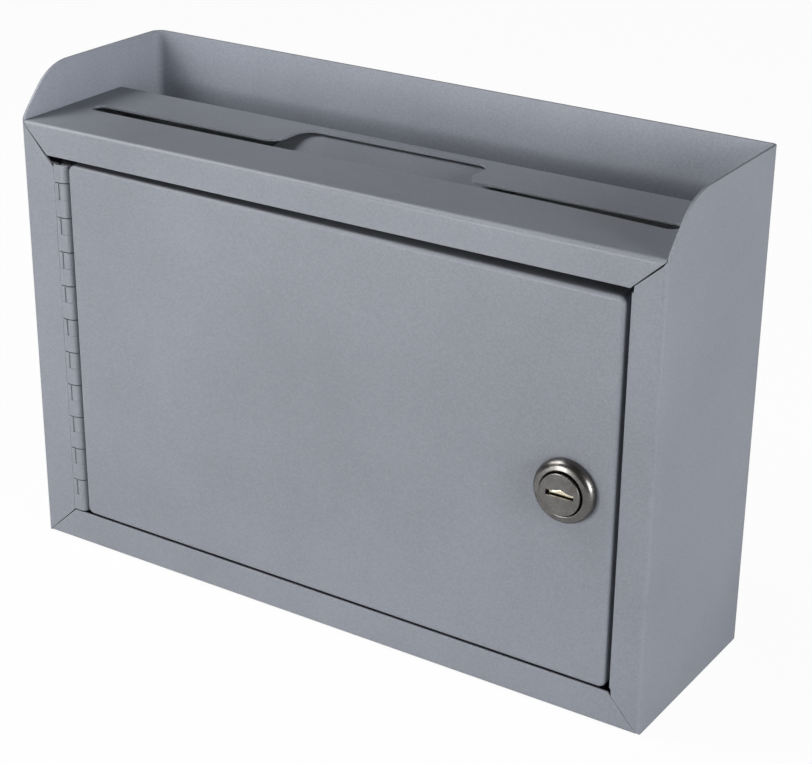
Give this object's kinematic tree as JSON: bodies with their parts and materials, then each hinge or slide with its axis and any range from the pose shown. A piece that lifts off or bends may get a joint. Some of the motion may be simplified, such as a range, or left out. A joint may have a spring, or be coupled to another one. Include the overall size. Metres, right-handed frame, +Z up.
{
  "type": "wall drop box",
  "caption": "Wall-mounted folded-steel drop box: slotted deck with thumb notch, open forms pocket behind it, and a piano-hinged front door with a domed cam lock.",
  "frame": {"origin": "centre of the whole object's bounding box at its base, lock face included", "axes": "+X to the right as seen from the front, +Y from the front to the wall, +Z up"},
  "size_m": [0.2476, 0.0782, 0.1765],
  "materials": {
    "grey_paint": "blue-grey stoved enamel, semi-gloss, fine orange peel",
    "satin_nickel": "satin nickel plate on the lock's face",
    "bright_brass": "bright pressed brass",
    "zinc_steel": "bright zinc plate"
  },
  "bodies": {
    "cabinet": {"body_wrap": "grey_paint", "top_sheet": "grey_paint", "chute_guard": "grey_paint", "floor_pan": "grey_paint", "hinge_frame_leaf": "grey_paint", "hinge_pin": "zinc_steel"},
    "door": {"hinge_door_leaf": "grey_paint", "door_panel": "grey_paint", "lock_housing": "satin_nickel", "lock_washer": "zinc_steel", "lock_nut": "zinc_steel"},
    "lock_core": {"lock_plug": "satin_nickel", "lock_wafer_1": "bright_brass", "lock_wafer_2": "bright_brass", "lock_wafer_3": "bright_brass", "lock_wafer_4": "bright_brass", "stop_washer": "zinc_steel", "lock_cam": "zinc_steel", "cam_washer": "zinc_steel", "cam_screw": "zinc_steel"},
    "shutter": {"key_shutter": "bright_brass"}
  },
  "joints": [
    {"name": "door_swing", "type": "hinge", "parent": "cabinet", "child": "door", "pos_m": [-0.10733, -0.03185, 0.0797], "axis": [0, 0, -1], "range_deg": [0, 105]},
    {"name": "lock_turn", "type": "hinge", "parent": "door", "child": "lock_core", "pos_m": [0.09427, -0.03445, 0.0793], "axis": [0, 1, 0], "range_deg": [0, 90]},
    {"name": "shutter_flip", "type": "hinge", "parent": "lock_core", "child": "shutter", "pos_m": [0.09427, -0.0377, 0.0796], "axis": [1, 0, 0], "range_deg": [0, 75], "stiffness_Nm_per_rad": 0.0001}
  ]
}
